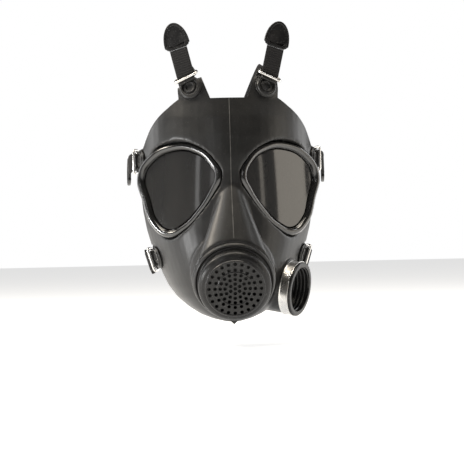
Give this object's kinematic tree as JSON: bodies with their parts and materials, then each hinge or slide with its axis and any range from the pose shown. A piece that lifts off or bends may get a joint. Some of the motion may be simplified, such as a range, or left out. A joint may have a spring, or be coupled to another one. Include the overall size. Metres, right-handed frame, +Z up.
{
  "type": "gas mask style costume mask",
  "caption": "Moulded rubber full-face mask with rounded windows, a pierced front outlet, a side filter socket and a strap harness, held as worn.",
  "frame": {"origin": "middle of the head that wears it, midway between the ears at eye level", "axes": "+X towards the wearer's left, -Y forward out of the face, +Z up"},
  "size_m": [0.19, 0.2383, 0.2765],
  "materials": {
    "moulded_rubber": "soft black moulded rubber, dull sheen",
    "gloss_rubber": "glossy black bead",
    "moulded_plastic": "satin black moulded plastic",
    "smoked_lens": "glossy smoked grey",
    "polished_steel": "bright steel",
    "webbing": "black ribbed webbing"
  },
  "bodies": {
    "root": {"facepiece": "moulded_rubber", "outlet_ring": "moulded_rubber", "outlet_body": "moulded_plastic", "outlet_cap": "moulded_plastic", "filter_socket": "moulded_plastic", "clamp_band": "polished_steel", "band_lock": "polished_steel", "head_pad": "webbing", "eye_rim_left": "gloss_rubber", "lens_left": "smoked_lens", "boss_top_left": "moulded_rubber", "buckle_top_left": "polished_steel", "strap_top_left": "webbing", "tip_top_left": "moulded_plastic", "boss_temple_left": "moulded_rubber", "buckle_temple_left": "polished_steel", "strap_temple_left": "webbing", "tip_temple_left": "moulded_plastic", "boss_cheek_left": "moulded_rubber", "buckle_cheek_left": "polished_steel", "strap_cheek_left": "webbing", "tip_cheek_left": "moulded_plastic", "eye_rim_right": "gloss_rubber", "lens_right": "smoked_lens", "boss_top_right": "moulded_rubber", "buckle_top_right": "polished_steel", "strap_top_right": "webbing", "tip_top_right": "moulded_plastic", "boss_temple_right": "moulded_rubber", "buckle_temple_right": "polished_steel", "strap_temple_right": "webbing", "tip_temple_right": "moulded_plastic", "boss_cheek_right": "moulded_rubber", "buckle_cheek_right": "polished_steel", "strap_cheek_right": "webbing", "tip_cheek_right": "moulded_plastic"}
  },
  "joints": []
}
